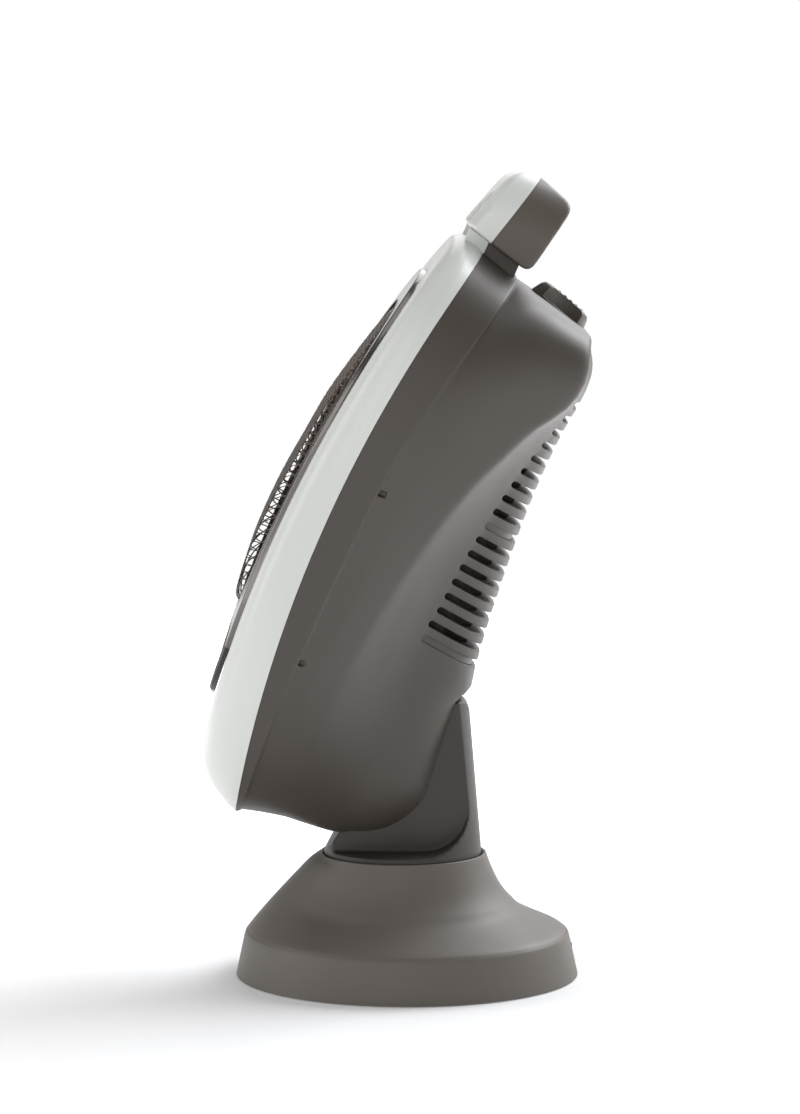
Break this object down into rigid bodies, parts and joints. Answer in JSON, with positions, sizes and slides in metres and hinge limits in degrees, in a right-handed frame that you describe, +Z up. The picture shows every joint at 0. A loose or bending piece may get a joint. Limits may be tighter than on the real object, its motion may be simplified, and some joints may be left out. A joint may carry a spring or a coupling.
{
  "type": "halogen heater",
  "caption": "Portable halogen heater: a curved oval head with a bulging mesh guard, slotted back, arch handle and rotary selector, tilting on a swivelling neck over a round weighted base.",
  "frame": {"origin": "middle of the round base, on the floor, under the base's outline", "axes": "+Z up; -Y the way the heater faces; +X to the right of someone who stands in front of it and looks along +Y; X runs along the tilt shaft"},
  "size_m": [0.3, 0.2639, 0.5492],
  "materials": {
    "taupe_plastic": "satin moulded, grey-brown",
    "white_plastic": "satin white moulded",
    "black_plastic": "matt black moulded",
    "nylon": "natural nylon",
    "steel": "plain bright steel",
    "guard_steel": "heat-tinted expanded steel",
    "guard_chrome": "plated sheet",
    "aluminium": "polished reflector sheet",
    "cast_iron": "painted ballast",
    "rubber": "matt",
    "ceramic": "unglazed steatite",
    "quartz": "clear quartz tube",
    "brass": "plain"
  },
  "bodies": {
    "base": {"base_cover": "taupe_plastic", "base_plate": "black_plastic", "counterweight": "cast_iron", "cord_bush": "black_plastic", "swivel_bearing": "nylon", "oscillation_motor": "steel", "rubber_pad_1": "rubber", "rubber_pad_2": "rubber", "rubber_pad_3": "rubber", "rubber_pad_4": "rubber", "base_screw_1": "steel", "base_screw_2": "steel", "base_screw_3": "steel", "base_screw_4": "steel"},
    "crank": {"oscillation_crank": "nylon"},
    "neck": {"neck": "taupe_plastic", "neck_retainer": "black_plastic", "friction_washer_left": "nylon", "friction_washer_right": "nylon", "retainer_screw_1": "steel", "retainer_screw_2": "steel", "retainer_screw_3": "steel"},
    "head": {"rear_shell": "taupe_plastic", "handle_rear": "taupe_plastic", "front_bezel": "white_plastic", "handle_front": "white_plastic", "selector_switch": "black_plastic", "tip_over_switch": "black_plastic", "shell_screw_1": "steel", "shell_screw_2": "steel", "shell_screw_3": "steel", "shell_screw_4": "steel", "shell_screw_5": "steel", "shell_screw_6": "steel", "handle_screw_left": "steel", "handle_screw_right": "steel", "tilt_shaft": "steel", "heat_shield": "steel", "guard_frame": "guard_chrome", "guard_mesh": "guard_steel", "reflector": "aluminium", "reflector_end_lower": "aluminium", "reflector_end_upper": "aluminium", "halogen_tube_left": "quartz", "halogen_tube_right": "quartz", "lamp_cap_left_lower": "ceramic", "lamp_cap_left_upper": "ceramic", "lamp_cap_right_lower": "ceramic", "lamp_cap_right_upper": "ceramic", "terminal_block": "ceramic"},
    "knob": {"selector_knob": "taupe_plastic", "selector_shaft": "brass"}
  },
  "joints": [
    {"name": "neck_swivel", "type": "hinge", "parent": "base", "child": "neck", "pos_m": [0, -0.003, 0.06], "axis": [0, 0, 1], "range_deg": [-30, 30]},
    {"name": "crank_turn", "type": "hinge", "parent": "base", "child": "crank", "pos_m": [0, 0.023, 0.045], "axis": [0, 0, 1], "range_deg": [-90, 90]},
    {"name": "head_tilt", "type": "hinge", "parent": "neck", "child": "head", "pos_m": [0, -0.014, 0.1305], "axis": [1, 0, 0], "range_deg": [0, 20]},
    {"name": "selector_turn", "type": "hinge", "parent": "head", "child": "knob", "pos_m": [0, 0.1002, 0.4534], "axis": [0, 0.6468, 0.7627], "range_deg": [0, 270]}
  ],
  "couplings": [
    {"joint": "crank_turn", "follows": "neck_swivel", "ratio": 3}
  ]
}
